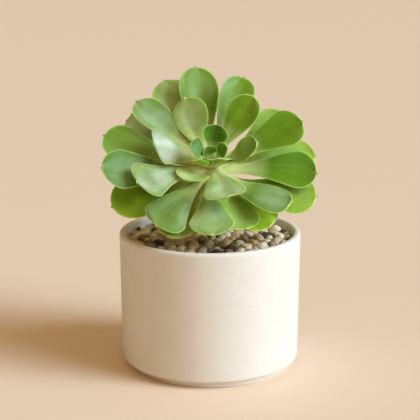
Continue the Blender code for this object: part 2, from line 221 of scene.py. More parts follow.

# One row a leaf: its place in the order of birth, counted out from the growing point, then what sets it
# apart from the rule, in degrees and millimetres: azimuth, rise, bend, length and width. Then come how far
# its edges turn up, its twist, its sway to one side, how straight its flanks fan out from the neck, how
# blunt its end is (1.5 is pointed, 2 round, 3 blunt), how far one half of the blade is drawn ahead of the
# other, and how deep it is folded along its midrib. The last two are its bloom, the pale wax on it, which is
# also a painted sheen on the leaves that face the light, and its tone, from deep green at 0 to yellow green
# at 1, which is partly the leaf's own colour and partly painted light, as some leaves in the shade of others
# were made lighter. Most of the numbers before the fold are the rounded result of a fit to the outlines of
# the leaves in the photo. The folds, blooms and tones are set one by one.
LEAVES = (
    (-7, 0, 0, 3, 4, 2, 0.40, 0, 0, 0.0, 1.5, 0.0, 0.00, 0.2, 0.5),
    (-6, 0, 4, 3, 3, 1, 0.40, 0, 0, 0.0, 1.5, 0.0, 0.00, 0.2, 0.4),
    (-5, 0, 2, 3, 4, 7, 0.45, 0, -25, 0.0, 1.5, 0.0, 0.10, 0.05, 0.15),
    (-4, 2, -9, 3, 0, 4, 0.35, 0, -5, 0.0, 2.0, 0.0, 0.10, 0.2, 0.2),
    (-3, -7, 6, 3, 3, 2, 0.40, 0, -30, 0.0, 1.5, 0.0, 0.10, 0.1, 0.1),
    (-2, -2, 2, 7, 4, 3, 0.40, -10, 5, 0.0, 2.0, 0.0, 0.10, 0.15, 0.0),
    (-1, 8, 8, -4, -2, 3, 0.10, -45, 0, 0.0, 1.5, 0.0, 0.00, 0.2, 0.2),
    (0, -11, 4, 0, -3, 5, 0.35, 0, -5, 0.0, 1.5, 0.0, 0.25, 0.0, 0.05),
    (1, -12, -4, -6, -14, 3, 0.10, 45, 0, 0.0, 1.5, 0.0, 0.00, 0.0, 0.6),
    (2, -17, 9, -13, -6, 3, 0.20, 0, 25, 0.0, 3.0, 0.0, 0.10, 0.1, 0.35),
    (3, 33, 19, 0, -8, 5, 0.05, 5, -15, 0.5, 3.5, -0.7, 0.10, 0.95, 0.2),
    (4, 5, -2, 18, -7, 5, -0.20, 0, 0, 0.5, 3.0, 0.0, 0.40, 0.6, 0.5),
    (5, -4, 4, -5, -4, -1, 0.20, 5, 0, 0.0, 2.0, 0.0, 0.10, 0.0, 0.35),
    (6, 13, 15, -4, -6, 5, 0.05, 0, -5, 1.0, 3.0, -0.2, 0.15, 0.65, 0.3),
    (7, -23, 16, 0, 0, 1, -0.20, -15, 35, 0.5, 3.5, 0.0, 0.25, 0.25, 0.15),
    (8, 6, 8, -13, -13, -1, 0.00, -35, -10, 0.0, 2.0, 0.0, 0.25, 0.55, 0.8),
    (9, -7, 8, 15, -4, 3, -0.15, 0, -10, 1.0, 3.0, 0.0, 0.15, 0.2, 0.2),
    (10, -3, 6, -3, -1, 1, 0.15, 5, 0, 0.5, 2.0, 0.0, 0.10, 0.0, 0.25),
    (11, 8, 17, -8, 4, -2, 0.10, -10, -15, 0.5, 2.5, 0.0, 0.15, 0.1, 0.3),
    (12, -4, 16, -5, -13, 0, 0.00, -20, -5, 0.5, 2.5, 0.0, 0.15, 0.15, 0.7),
    (13, -7, -3, 10, -2, -4, 0.20, 15, 0, 0.0, 2.5, 0.0, 0.15, 0.0, 0.3),
    (14, 9, -20, 0, -34, -6, 0.20, 20, 15, 0.0, 2.5, 0.0, 0.10, 0.65, 1.0),
    (15, 1, 8, 3, -2, 1, 0.20, 0, 0, 0.5, 2.0, 0.0, 0.15, 0.0, 0.15),
    (16, 8, -2, 7, -3, -5, 0.15, 5, 0, 0.0, 2.5, 0.0, 0.20, 0.3, 0.2),
    (17, 1, -8, 24, -11, 0, -0.05, 0, 5, 1.0, 2.0, 0.0, 0.15, 0.35, 0.4),
    (18, -15, 7, 0, -5, -2, 0.20, 0, 20, 0.5, 2.0, 0.0, 0.10, 0.1, 0.6),
    (19, 6, 1, -10, 0, 1, -0.05, -5, 0, 0.5, 2.0, 0.0, 0.20, 0.15, 0.05),
    (20, -10, 12, 0, -13, 0, 0.05, -15, 0, 0.5, 2.5, 0.0, 0.10, 0.0, 1.0),
    (21, 1, -6, 3, 2, -2, 0.10, 5, 0, 0.0, 2.0, 0.0, 0.20, 0.1, 0.3),
    (22, 9, 7, -2, -11, 0, 0.10, 0, -5, 0.0, 2.0, 0.0, 0.10, 0.3, 1.0),
    (23, -4, 8, 0, -3, 0, 0.20, 0, 0, 0.0, 2.0, 0.0, 0.10, 0.15, 1.0),
    (24, -7, 12, -3, -2, 2, 0.35, -20, 0, 0.0, 2.5, 0.0, 0.10, 0.7, 1.0),
    (25, 0, 10, 0, -27, -5, 0.20, 0, 0, 0.0, 2.0, 0.0, 0.10, 0.2, 0.5),
    (27, 2, 6, 0, -3, 1, 0.05, -5, 0, 0.0, 2.0, 0.0, 0.05, 0.0, 0.75),
    (28, -10, 4, 0, -1, 2, 0.10, 0, 25, 0.5, 2.0, 0.0, 0.10, 0.1, 0.8),
    (29, -3, -2, 5, 3, 0, 0.15, 0, 0, 0.0, 2.0, 0.0, 0.15, 0.35, 0.7),
)

# The sockets of a Mix node that mixes colours
FACTOR, FIRST, SECOND, MIXED = 0, 6, 7, 2
# The sockets of a Map Range node, in the order in which the materials give them
RANGE = ("Value", "From Min", "From Max", "To Min", "To Max")

# How often each pattern repeats in a metre, with the size that this gives it. The skin of a leaf and the
# grain of the glaze are really too fine to show, and are drawn as coarse as they need to be.
FLESH_PATCHES = 110.0  # patches of lighter flesh, 9 mm
WAX_SHEEN_CLOUDS = 75.0  # clouds in the wax and its painted sheen, 13 mm
SKIN_CELLS = 1600.0  # the skin of a leaf, 0.6 mm
SPECK_CELLS = 330.0  # the cells that hold the flecks on the leaves and the specks in the glaze, 3 mm
GLAZE_MOTTLE = 90.0  # thicker and thinner glaze, 11 mm
GLAZE_GRAIN = 1300.0  # the grain of the glaze, 0.8 mm
STONE_BANDS = 330.0  # cloudy bands in a pebble, 3 mm
STONE_GRAINS = 2200.0  # the grains of its minerals, 0.45 mm
CRUMBS = 700.0  # crumbs of bark, 1.4 mm
FIBRES = 900.0  # fibres of peat, 1.1 mm
CORK_RIDGES = 420.0  # corky ridges on the stem, 2.4 mm
# Steps of the vein pattern over half a leaf's width, over its length, and from leaf to leaf. On a leaf that
# is 22 mm wide and 50 mm long, this makes the veins about 0.5 mm wide and 20 mm long.
VEIN_STEPS = {"across": 22.0, "along": 2.2, "seed": 7.3}


# Helpers


def linear(hex_colour):
    """A hex colour as linear numbers."""
    parts = [int(hex_colour[k : k + 2], 16) / 255 for k in (0, 2, 4)]
    return (*[c / 12.92 if c <= 0.04045 else ((c + 0.055) / 1.055) ** 2.4 for c in parts], 1)


def feed(tree, node, inputs):
    """Gives a node its inputs, as numbers, colours or the sockets that feed them."""
    for name, value in inputs.items():
        if isinstance(value, bpy.types.NodeSocket):
            tree.links.new(value, node.inputs[name])
        else:
            node.inputs[name].default_value = value


def add_node(tree, kind, inputs=None, **settings):
    """Adds a node with its settings and its inputs."""
    node = tree.nodes.new(kind)
    for name, value in settings.items():
        setattr(node, name, value)
    feed(tree, node, inputs or {})
    return node


def new_material(name):
    """A material with its tree and its shader."""
    material = bpy.data.materials.new(name)
    material.use_nodes = True
    return material, material.node_tree, material.node_tree.nodes["Principled BSDF"]


def smooth_step(x, start, end):
    share = min(max((x - start) / (end - start), 0), 1)
    return share * share * (3 - 2 * share)


def weld(bm):
    """Joins the vertices that lie in one place."""
    bmesh.ops.remove_doubles(bm, verts=bm.verts, dist=WELD)


def linked_object(bm, name, material):
    """Turns a finished bmesh into an object of the scene."""
    mesh = bpy.data.meshes.new(name)
    bm.to_mesh(mesh)
    bm.free()
    obj = bpy.data.objects.new(name, mesh)
    bpy.context.scene.collection.objects.link(obj)
    mesh.materials.append(material)
    return obj


def new_piece(bm, name, material, slot, *nodes):
    """Turns a finished bmesh into a piece of the root body that stands for the CAD nodes."""
    bmesh.ops.recalc_face_normals(bm, faces=bm.faces)
    for face in bm.faces:
        face.smooth = True
    piece = linked_object(bm, name, material)
    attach(piece, "root")
    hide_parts(*nodes)


# Materials


def specks(tree, place, outer, inner, least, most, strength):
    """Round specks in some cells of a pattern. A speck fades in from its outer to its inner radius, in
    shares of a cell. Its cell draws a number, and it shows above the least, and in full from the most on."""
    cells = add_node(tree, "ShaderNodeTexVoronoi", {"Vector": place, "Scale": SPECK_CELLS})
    draw = add_node(tree, "ShaderNodeSeparateColor", {"Color": cells.outputs["Color"]})
    ranges = (
        (cells.outputs["Distance"], outer, inner, 0.0, 1.0),
        (draw.outputs["Red"], least, most, 0.0, strength),
    )
    factors = {}
    for k, values in enumerate(ranges):
        factors[k] = add_node(tree, "ShaderNodeMapRange", dict(zip(RANGE, values))).outputs["Result"]
    return add_node(tree, "ShaderNodeMath", factors, operation="MULTIPLY").outputs["Value"]


def waxy_leaf():
    """Aeonium leaf: fleshy and watery, so light glows through it, under a thin wax that greys it and gives
    it a wide soft sheen. The pale wax colour is partly a painted sheen on the parts that face the light.
    Faint veins fan out from a pale foot, whose colour is partly a painted glow, and the margin is a fine
    pale line."""
    material, tree, shader = new_material("aeonium_leaf")
    place = add_node(tree, "ShaderNodeTexCoord").outputs["Object"]
    read = {}
    for name in LEAF_LAYERS:
        read[name] = add_node(tree, "ShaderNodeAttribute", attribute_name=name).outputs["Fac"]

    stretched = {}
    for k, (name, steps) in enumerate(VEIN_STEPS.items()):
        step = add_node(tree, "ShaderNodeMath", {0: read[name], 1: steps}, operation="MULTIPLY")
        stretched[k] = step.outputs["Value"]
    fan = add_node(tree, "ShaderNodeCombineXYZ", stretched).outputs["Vector"]
    vein_inputs = {"Vector": fan, "Scale": 1.0, "Detail": 4.0, "Distortion": 0.5}
    veins = add_node(tree, "ShaderNodeTexNoise", vein_inputs).outputs["Fac"]
    patches = add_node(tree, "ShaderNodeTexNoise", {"Vector": place, "Scale": FLESH_PATCHES, "Detail": 3.0})
    wax_sheen_clouds = add_node(tree, "ShaderNodeTexNoise", {"Vector": place, "Scale": WAX_SHEEN_CLOUDS, "Detail": 2.0})
    skin = add_node(tree, "ShaderNodeTexNoise", {"Vector": place, "Scale": SKIN_CELLS, "Detail": 2.0})

    # Each share goes by a value, and runs between its last two numbers while that runs between the first two
    ranges = {
        "patch": (patches.outputs["Fac"], 0.40, 0.68, 0.0, 0.45),
        "vein": (veins, 0.46, 0.68, 0.0, 0.20),
        "dark_line": (veins, 0.46, 0.32, 0.0, 0.14),
        "wax_sheen_patch": (wax_sheen_clouds.outputs["Fac"], 0.36, 0.64, 0.35, 1.15),
        "wax_sheen_top": (read["upper"], -0.3, 0.5, 0.15, 0.8),
        "wax_sheen_foot": (read["along"], 0.22, 0.72, 0.15, 1.0),
        "wax_sheen_inner": (read["margin"], 0.4, 4.5, 0.35, 1.0),
        # Painted glow: the pale foot is partly the petiole's own colour and partly painted light glowing
        # through the leaf bases
        "foot": (read["along"], 0.55, 0.18, 0.0, 1.0),
        "margin": (read["margin"], 0.6, 0.1, 0.0, 0.7),
        "dry": (read["dry"], 0.3, 0.8, 0.0, 0.85),
        "sheen": (read["bloom_and_painted_sheen"], 0.0, 0.5, 0.05, 0.75),
    }
    share = {}
    for name, values in ranges.items():
        share[name] = add_node(tree, "ShaderNodeMapRange", dict(zip(RANGE, values))).outputs["Result"]

    # The pale wax with its painted sheen lies on the upper face, in soft patches, and thins out towards the
    # foot and the margin, so that the middle of each blade towards its tip is painted lighter, as a
    # highlight
    wax_and_painted_sheen = share["wax_sheen_patch"]
    for factor in (share["wax_sheen_top"], share["wax_sheen_foot"], share["wax_sheen_inner"], read["bloom_and_painted_sheen"]):
        wax_and_painted_sheen = add_node(tree, "ShaderNodeMath", {0: wax_and_painted_sheen, 1: factor}, operation="MULTIPLY").outputs["Value"]

    # What lies over the flesh, from below: patches, veins and the dark lines between them, the wax with its
    # painted sheen, the pale foot with its painted glow, the pale margin, flecks of dust and hard water, and
    # the dried point at the tip of an old leaf
    # The tone is partly each leaf's own colour and partly painted light: some leaves in the shade of others
    # were made lighter
    flesh = {FACTOR: read["tone"], FIRST: linear("4E8006"), SECOND: linear("B8D62C")}
    colour = add_node(tree, "ShaderNodeMix", flesh, data_type="RGBA").outputs[MIXED]
    layers = (
        (share["patch"], "58920C"),
        (share["vein"], "A2C84E"),
        (share["dark_line"], "3E6B06"),
        # Painted sheen: the pale wax colour also stands in for the highlight on leaves that face the light
        (wax_and_painted_sheen, "E8F6E6"),
        # Painted glow: this nearly white foot colour also stands in for light shining through the leaf bases
        (share["foot"], "EEF2A8"),
        (share["margin"], "D8E99C"),
        (specks(tree, place, 0.10, 0.05, 0.5, 0.9, 0.5), "E6EDC8"),
        (share["dry"], "7A5C34"),
    )
    for layer_share, layer_colour in layers:
        inputs = {FACTOR: layer_share, FIRST: colour, SECOND: linear(layer_colour)}
        colour = add_node(tree, "ShaderNodeMix", inputs, data_type="RGBA").outputs[MIXED]

    rough = add_node(tree, "ShaderNodeMapRange", dict(zip(RANGE, (wax_and_painted_sheen, 0.0, 0.6, 0.42, 0.55))))
    vein_bump = add_node(tree, "ShaderNodeBump", {"Height": veins, "Strength": 0.25, "Distance": 0.25 * MM})
    skin_inputs = {"Height": skin.outputs["Fac"], "Strength": 0.25, "Distance": 0.06 * MM}
    skin_inputs["Normal"] = vein_bump.outputs["Normal"]
    looks = {
        "Base Color": colour,
        "Roughness": rough.outputs["Result"],
        "Normal": add_node(tree, "ShaderNodeBump", skin_inputs).outputs["Normal"],
        "IOR": 1.38,
        "Coat Weight": share["sheen"],
        "Coat Roughness": 0.45,
        "Coat IOR": 1.45,
        "Subsurface Weight": 0.6,
        "Subsurface Radius": (0.45, 1.0, 0.12),
        "Subsurface Scale": 2.5 * MM,
    }
    feed(tree, shader, looks)
    return material


def stoneware_glaze():
    """Stoneware under a thin matte cream glaze: dry and even, with a few iron specks and pinholes."""
    material, tree, shader = new_material("matte_stoneware")
    place = add_node(tree, "ShaderNodeTexCoord").outputs["Object"]
    mottle_inputs = {"Vector": place, "Scale": GLAZE_MOTTLE, "Detail": 4.0}
    mottle = add_node(tree, "ShaderNodeTexNoise", mottle_inputs).outputs["Fac"]
    grain_inputs = {"Vector": place, "Scale": GLAZE_GRAIN, "Detail": 3.0}
    grain = add_node(tree, "ShaderNodeTexNoise", grain_inputs).outputs["Fac"]
    iron = specks(tree, place, 0.17, 0.07, 0.55, 1.0, 0.38)
    glaze_inputs = {FACTOR: mottle, FIRST: linear("F4EDE2"), SECOND: linear("ECE3D4")}
    glaze = add_node(tree, "ShaderNodeMix", glaze_inputs, data_type="RGBA").outputs[MIXED]
    iron_inputs = {FACTOR: iron, FIRST: glaze, SECOND: linear("A98560")}
    specked = add_node(tree, "ShaderNodeMix", iron_inputs, data_type="RGBA").outputs[MIXED]
    rough = add_node(tree, "ShaderNodeMapRange", dict(zip(RANGE, (grain, 0.3, 0.7, 0.56, 0.68))))

    # The surface: the soft mottle, the grain over it, and a pinhole at each speck
    soft = add_node(tree, "ShaderNodeBump", {"Height": mottle, "Strength": 0.2, "Distance": 0.4 * MM})
    fine_inputs = {"Height": grain, "Strength": 0.3, "Distance": 0.08 * MM}
    fine_inputs["Normal"] = soft.outputs["Normal"]
    fine = add_node(tree, "ShaderNodeBump", fine_inputs)
    pit_inputs = {"Height": iron, "Strength": 0.6, "Distance": 0.3 * MM}
    pit_inputs["Normal"] = fine.outputs["Normal"]
    pits = add_node(tree, "ShaderNodeBump", pit_inputs, invert=True)
    looks = {
        "Base Color": specked,
        "Roughness": rough.outputs["Result"],
        "Normal": pits.outputs["Normal"],
    }
    feed(tree, shader, looks)
    return material


def river_stone(name, light, dark, grain, roughness):
    """A stone that water has rounded: its own colour in cloudy bands, finer grains of its minerals, and a
    dry, rubbed skin. Each pebble is a little lighter or darker than the next."""
    material, tree, shader = new_material(name)
    place = add_node(tree, "ShaderNodeTexCoord").outputs["Object"]
    shade = add_node(tree, "ShaderNodeAttribute", attribute_name="shade").outputs["Fac"]
    band_inputs = {"Vector": place, "Scale": STONE_BANDS, "Detail": 4.0, "Distortion": 0.8}
    bands = add_node(tree, "ShaderNodeTexNoise", band_inputs).outputs["Fac"]
    grain_inputs = {"Vector": place, "Scale": STONE_GRAINS, "Detail": 2.0}
    grains = add_node(tree, "ShaderNodeTexNoise", grain_inputs).outputs["Fac"]
    colour = linear(light)
    layers = (
        ((bands, 0.36, 0.64, 0.0, 1.0), dark),
        ((grains, 0.56, 0.68, 0.0, 0.6), grain),
    )
    for values, layer_colour in layers:
        share = add_node(tree, "ShaderNodeMapRange", dict(zip(RANGE, values))).outputs["Result"]
        inputs = {FACTOR: share, FIRST: colour, SECOND: linear(layer_colour)}
        colour = add_node(tree, "ShaderNodeMix", inputs, data_type="RGBA").outputs[MIXED]
    shaded = add_node(tree, "ShaderNodeHueSaturation", {"Color": colour, "Value": shade})
    skin = add_node(tree, "ShaderNodeBump", {"Height": grains, "Strength": 0.4, "Distance": 0.08 * MM})
    looks = {
        "Base Color": shaded.outputs["Color"],
        "Roughness": roughness,
        "Normal": skin.outputs["Normal"],
    }
    feed(tree, shader, looks)
    return material


def potting_mix():
    """Peat and bark crumbs: near black where damp, with paler fibres, and quite rough."""
    material, tree, shader = new_material("potting_mix")
    place = add_node(tree, "ShaderNodeTexCoord").outputs["Object"]
    crumbs = add_node(tree, "ShaderNodeTexVoronoi", {"Vector": place, "Scale": CRUMBS}).outputs["Distance"]
    fibres = add_node(tree, "ShaderNodeTexNoise", {"Vector": place, "Scale": FIBRES, "Detail": 5.0})
    earth_inputs = {FACTOR: fibres.outputs["Fac"], FIRST: linear("241A12"), SECOND: linear("6A5038")}
    earth = add_node(tree, "ShaderNodeMix", earth_inputs, data_type="RGBA")
    skin = add_node(tree, "ShaderNodeBump", {"Height": crumbs, "Strength": 0.8, "Distance": 0.8 * MM})
    looks = {"Base Color": earth.outputs[MIXED], "Roughness": 0.95, "Normal": skin.outputs["Normal"]}
    feed(tree, shader, looks)
    return material


def green_bark():
    """Young succulent stem: dull olive brown skin, corky and paler in the ridges between old leaf scars."""
    material, tree, shader = new_material("succulent_stem_bark")
    place = add_node(tree, "ShaderNodeTexCoord").outputs["Object"]
    cork_inputs = {"Vector": place, "Scale": CORK_RIDGES, "Detail": 5.0}
    cork = add_node(tree, "ShaderNodeTexNoise", cork_inputs).outputs["Fac"]
    bark_inputs = {FACTOR: cork, FIRST: linear("5E5A30"), SECOND: linear("9A8F5E")}
    bark = add_node(tree, "ShaderNodeMix", bark_inputs, data_type="RGBA")
    skin = add_node(tree, "ShaderNodeBump", {"Height": cork, "Strength": 0.6, "Distance": 0.4 * MM})
    looks = {"Base Color": bark.outputs[MIXED], "Roughness": 0.75, "Normal": skin.outputs["Normal"]}
    feed(tree, shader, looks)
    return material


def plain_floor():
    """A plain, pale and warm tabletop without a pattern."""
    material, tree, shader = new_material("pale_tabletop")
    feed(tree, shader, {"Base Color": linear("F6DEC3"), "Roughness": 0.7})
    return material


# Pot


def pot_radius(height):
    """Outer radius of the pot's wall at a height."""
    share = (height - FOOT_HEIGHT) / (POT_HEIGHT - FOOT_HEIGHT)
    return BODY_FOOT_RADIUS + (RIM_RADIUS - BODY_FOOT_RADIUS) * share


def inner_radius(height):
    return pot_radius(height) - WALL


def arc(centre, radius, start, end, steps):
    """Points on an arc, between two angles in degrees."""
    angles = [math.radians(start + (end - start) * k / steps) for k in range(steps + 1)]
    return [(centre[0] + radius * math.cos(a), centre[1] + radius * math.sin(a)) for a in angles]


def wall(radius_at, start, end, steps):
    """The points of a wall between two heights, without its ends."""
    heights = [start + (end - start) * k / steps for k in range(1, steps)]
    return [(radius_at(height), height) for height in heights]


def turned(profile, steps):
    """Spins a profile of (radius, height) points about the pot's axis and closes its poles."""
    bm = bmesh.new()
    verts = [bm.verts.new((radius, 0, height)) for radius, height in profile]
    edges = [bm.edges.new(pair) for pair in zip(verts, verts[1:])]
    bmesh.ops.spin(
        bm,
        geom=verts + edges,
        cent=(0, 0, 0),
        axis=(0, 0, 1),
        angle=2 * math.pi,
        steps=steps,
        use_merge=True,
    )
    weld(bm)
    return bm


def pot():
    """The profile starts inside the rim, runs over the rim and down to the foot, and back up inside."""
    corner = inner_radius(FLOOR_TOP + INSIDE_ROUNDING) - INSIDE_ROUNDING
    wall_top = POT_HEIGHT - RIM_ROUNDING
    wall_foot = FOOT_HEIGHT + CORNER_ROUNDING
    ring_inside = FOOT_RADIUS - FOOT_RING_WIDTH
    profile = [
        (inner_radius(wall_top), wall_top),
        *arc((RIM_RADIUS - WALL + RIM_ROUNDING, wall_top), RIM_ROUNDING, 170, 90, 8),
        *arc((RIM_RADIUS - RIM_ROUNDING, wall_top), RIM_ROUNDING, 90, 0, 8),
        *wall(pot_radius, wall_top, wall_foot, 24),
        *arc((BODY_FOOT_RADIUS - CORNER_ROUNDING, wall_foot), CORNER_ROUNDING, 0, -90, 8),
        (FOOT_RADIUS + FOOT_FILLET, FOOT_HEIGHT),
        (FOOT_RADIUS, FOOT_HEIGHT - FOOT_FILLET),
        *arc((FOOT_RADIUS - FOOT_ROUNDING, FOOT_ROUNDING), FOOT_ROUNDING, 0, -90, 4),
        (ring_inside, 0),
        (ring_inside - FOOT_RECESS, FOOT_RECESS),
        (0, FOOT_RECESS),
        (0, FLOOR_TOP),
        *arc((corner, FLOOR_TOP + INSIDE_ROUNDING), INSIDE_ROUNDING, -90, 0, 6),
        *wall(inner_radius, FLOOR_TOP + INSIDE_ROUNDING, wall_top, 20),
    ]
    bm = turned(profile + profile[:1], POT_STEPS)
    new_piece(bm, "stoneware_pot", stoneware_glaze(), "stoneware", "pot")


# Gravel


def pebble_places():
    """Draws the pebbles from large to small, so that small ones fill the chinks, and then a layer below."""
    rng = random.Random(GRAVEL_SEED)
    stem_x, stem_y, _ = stem_axis()
    placed = []
    for tries, least, most, depth in PEBBLE_DRAWS:
        lower = depth > LOWER_LAYER
        for _ in range(tries):
            radius = rng.uniform(least, most)
            away = (inner_radius(BED_TOP) - GAP - PEBBLE_ROOM * radius) * math.sqrt(rng.random())
            angle = rng.uniform(0, 2 * math.pi)
            x, y = away * math.cos(angle), away * math.sin(angle)
            if math.hypot(x - stem_x, y - stem_y) < STEM_RADIUS + PEBBLE_ROOM * radius:
                continue
            near = [
                other
                for other in placed
                if other[4] == lower
                and math.hypot(x - other[0], y - other[1]) < PEBBLE_OVERLAP * (radius + other[3])
            ]
            if near:
                continue
            placed.append((x, y, PEBBLE_TOPS - depth + rng.uniform(*TOP_SCATTER) * MM, radius, lower))
    return placed


def gravel():
    """Single pebbles, gathered into one piece for each kind of stone."""
    rng = random.Random(GRAVEL_SEED + 1)
    meshes = []
    for _ in STONES:
        bm = bmesh.new()
        meshes.append((bm, bm.verts.layers.float.new("shade")))
    shares = [stone[5] for stone in STONES]
    for x, y, top, radius, _ in pebble_places():
        bm, shade_layer = meshes[rng.choices(range(len(STONES)), shares)[0]]
        shade = rng.uniform(*STONE_SHADES)
        halves = Vector([rng.uniform(*limits) for limits in PEBBLE_HALVES]) * radius
        squareness = rng.uniform(*PEBBLE_SQUARENESS)
        own = Vector([rng.uniform(0, NOISE_SPREAD) for _ in range(3)])
        turn = Matrix.Rotation(rng.uniform(0, 2 * math.pi), 4, "Z")
        lean_x, lean_y = [Matrix.Rotation(rng.gauss(0, PEBBLE_LEAN), 4, way) for way in "XY"]
        place = Matrix.Translation((x, y, top - halves.z)) @ turn @ (lean_x @ lean_y)
        place = place @ Matrix.Diagonal((*halves, 1))
        made = bmesh.ops.create_icosphere(bm, subdivisions=3 if radius > LARGE_PEBBLE else 2, radius=1)
        for vert in made["verts"]:
            p = vert.co
            size = sum(abs(c) ** squareness for c in p) ** (-1 / squareness)
            size *= 1 + sum(height * noise.noise(p * detail + own) for height, detail in PEBBLE_LUMPS)
            vert.co = place @ (p * size)
            vert[shade_layer] = shade
    for (bm, _), (name, light, dark, grain, roughness, _) in zip(meshes, STONES):
        material = river_stone(name, light, dark, grain, roughness)
        new_piece(bm, "pebbles_" + name, material, "river_gravel", "gravel")


def grit_bed():
    """The fine grit under the pebbles, seen only in the chinks between them. Its dark colour is partly
    painted shade in those chinks.
    """
    outer = inner_radius(BED_TOP) - GAP
    profile = [(outer * k / GRIT_RINGS, BED_TOP) for k in range(GRIT_RINGS + 1)]
    profile += [(outer, BED_UNDERSIDE), (0, BED_UNDERSIDE)]
    bm = turned(profile, GRIT_STEPS)
    shade_layer = bm.verts.layers.float.new("shade")
    for vert in bm.verts:
        vert[shade_layer] = 1.0
        inward = math.hypot(vert.co.x, vert.co.y) < outer - GRIT_EDGE
        if vert.co.z > BED_TOP - GRIT_EDGE and inward:
            vert.co.z += GRIT_HEIGHT * noise.noise(vert.co * GRIT_DETAIL) - GRIT_DEPTH
    # Painted shade: the grit is darkened so that the chinks between the pebbles look shaded
    material = river_stone("grit_and_painted_shade", "54453A", "2A221C", "8A765E", 0.8)
    new_piece(bm, "grit_bed", material, "river_gravel", "gravel")


# Stem and crown


def crown_axes():
    """The crown's own axis, and the two across it: to the right, and up and back."""
    axis = Vector((0, -math.sin(CROWN_TILT), math.cos(CROWN_TILT)))
    right = Vector((1, 0, 0))
    return axis, right, axis.cross(right)


def stem_axis():
    """Where the upright stretch of the stem stands, in x and y, and the height where it starts to bend."""
    top = CROWN - crown_axes()[0] * (CORE_LENGTH + GAP)
    y = top.y + STEM_BEND_RADIUS * (1 - math.cos(CROWN_TILT))
    return top.x, y, top.z - STEM_BEND_RADIUS * math.sin(CROWN_TILT)


def tube(bm, rows, around):
    """Adds a grid that is to be wrapped into a tube. Gives each vertex with its turn about the tube, its
    share of the tube's length, and whether it lies in one of the two rows that close the ends."""
    bmesh.ops.create_grid(bm, x_segments=around, y_segments=rows + 2, size=1)
    for vert in bm.verts:
        turn = math.pi * (vert.co.x + 1)
        row = round((vert.co.y + 1) / 2 * (rows + 2)) - 1
        yield vert, turn, min(max(row, 0), rows) / rows, row < 0 or row > rows


def stem():
    """A tube along the stem's line, with low scars where old leaves have dropped."""
    x, y, bend_height = stem_axis()
    straight = bend_height - STEM_FOOT
    length = straight + STEM_BEND_RADIUS * CROWN_TILT
    side = Vector((1, 0, 0))
    bm = bmesh.new()
    for vert, turn, share, closes in tube(bm, STEM_ROWS, STEM_ROUND):
        distance = length * share
        angle = max(distance - straight, 0) / STEM_BEND_RADIUS
        forward = STEM_BEND_RADIUS * (1 - math.cos(angle))
        height = STEM_FOOT + min(distance, straight) + STEM_BEND_RADIUS * math.sin(angle)
        front = Vector((0, -math.cos(angle), -math.sin(angle)))
        scar = math.prod(math.cos(waves * turn + winding * distance) for waves, winding in SCAR_WINDINGS)
        radius = 0 if closes else STEM_RADIUS - BARK_DEPTH + SCAR_HEIGHT * scar
        centre = Vector((x, y - forward, height))
        vert.co = centre + radius * (math.cos(turn) * side + math.sin(turn) * front)
    weld(bm)
    new_piece(bm, "leafy_stem", green_bark(), "woody_stem", "stem")


def crown_core(material):
    """The short fleshy top of the stem that every leaf grows from."""
    axis, right, back = crown_axes()
    bm = bmesh.new()
    layer = {name: bm.verts.layers.float.new(name) for name in LEAF_LAYERS}
    for vert, turn, share, closes in tube(bm, CORE_ROWS, CORE_ROUND):
        radius = CORE_FOOT_RADIUS + (CORE_TOP_RADIUS - CORE_FOOT_RADIUS) * share
        radius += CORE_RIDGE_HEIGHT * math.cos(CORE_RIDGES * turn + CORE_WINDING * share)
        if closes:
            radius = 0
        centre = CROWN - axis * CORE_LENGTH * (1 - share)
        vert.co = centre + radius * (math.cos(turn) * right + math.sin(turn) * back)
        for name, value in CORE_LOOKS.items():
            vert[layer[name]] = value
    weld(bm)
    new_piece(bm, "crown_core", material, "succulent_leaf", "rosette")


# Leaves


def leaf_from_rule(row):
    """A leaf's angles and size: the golden angle turns it, and its age opens and lengthens it."""
    birth, azimuth, rise, bend, length, width, *shape, bloom_and_painted_sheen, tone = row
    edge_turn, twist, sway, fan, end, skew, fold = shape
    age = max(birth, 0)
    if birth < 0:
        size = BUD_LENGTH + BUD_LENGTH_STEP * birth
        rule_rise = BUD_RISE + BUD_RISE_STEP * birth
        rule_width = BUD_WIDTH * size
    else:
        size = NEW_LENGTH + ADDED_LENGTH * (1 - math.exp(-age / LENGTH_AGE))
        rule_rise = NEW_RISE + ADDED_RISE * (1 - math.exp(-age / RISE_AGE))
        rule_width = LEAF_WIDTH * size
    return {
        "azimuth": math.radians(90 + GOLDEN_ANGLE * birth + azimuth),
        "rise": math.radians(rule_rise + rise),
        "bend": math.radians(LEAF_BEND + bend),
        "length": (size + length) * MM,
        "half_width": (rule_width + width) / 2 * MM,
        "edge_turn": edge_turn,
        "twist": math.radians(twist),
        "sway": math.radians(sway),
        "fan": fan,
        "end": end,
        "skew": skew,
        "fold": fold,
        "drop": LEAF_STEP * age,
        "bloom_and_painted_sheen": bloom_and_painted_sheen,
        "tone": tone,
    }


def leaf_station(own, row):
    """For a row of the mesh: its share of the length, half width as a share of the widest, and how far round
    the leaf's end it lies, from 0 to 1. Rows in the round end are spaced evenly along the margin."""
    straight_rows = (1 - CAP_ROWS) * LEAF_ROWS
    widest = WIDEST + WIDEST_SHIFT * own["fan"]
    if row <= straight_rows:
        s = widest * max(row, 0) / straight_rows
        spread = min(max((s - NECK_END) / (widest - NECK_END), 0), 1)
        flank = smooth_step(s, NECK_END, widest)
        flank += own["fan"] * (spread * spread - flank)
        flare = ROOT_FLARE * max(1 - s / ROOT_END, 0) ** 2
        return s, NECK_SHARE + (1 - NECK_SHARE) * flank + flare, 0
    cap = (row - straight_rows) / (LEAF_ROWS - straight_rows)
    s = widest + (1 - widest) * math.sin(math.pi / 2 * cap) ** (2 / own["end"])
    return s, math.cos(math.pi / 2 * cap), cap


